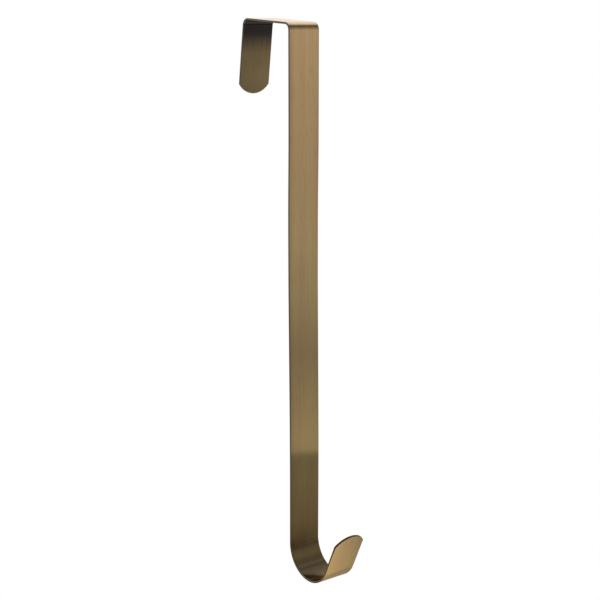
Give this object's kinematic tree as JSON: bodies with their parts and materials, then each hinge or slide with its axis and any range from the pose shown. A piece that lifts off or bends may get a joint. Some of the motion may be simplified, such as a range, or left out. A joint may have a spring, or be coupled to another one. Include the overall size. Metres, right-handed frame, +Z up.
{
  "type": "wreath hanger",
  "caption": "Over-door wreath hanger: a flat brass-finished metal strip folded over a door's top edge, running down its face and ending in a J hook with a rounded, outward-leaning tip.",
  "frame": {"origin": "middle of the underside of the saddle plate, where the hanger sits on the top edge of the door", "axes": "+Z up along the straight drop, -Y towards the side of the door where the wreath hangs (long drop and hook), +Y towards the short back leg, X across the strip's width"},
  "size_m": [0.025, 0.1147, 0.3928],
  "materials": {
    "antique_brass": "brushed antique brass plating on steel strip, satin, with lengthwise streaks"
  },
  "bodies": {
    "root": {"hanger_strip": "antique_brass"}
  },
  "joints": []
}
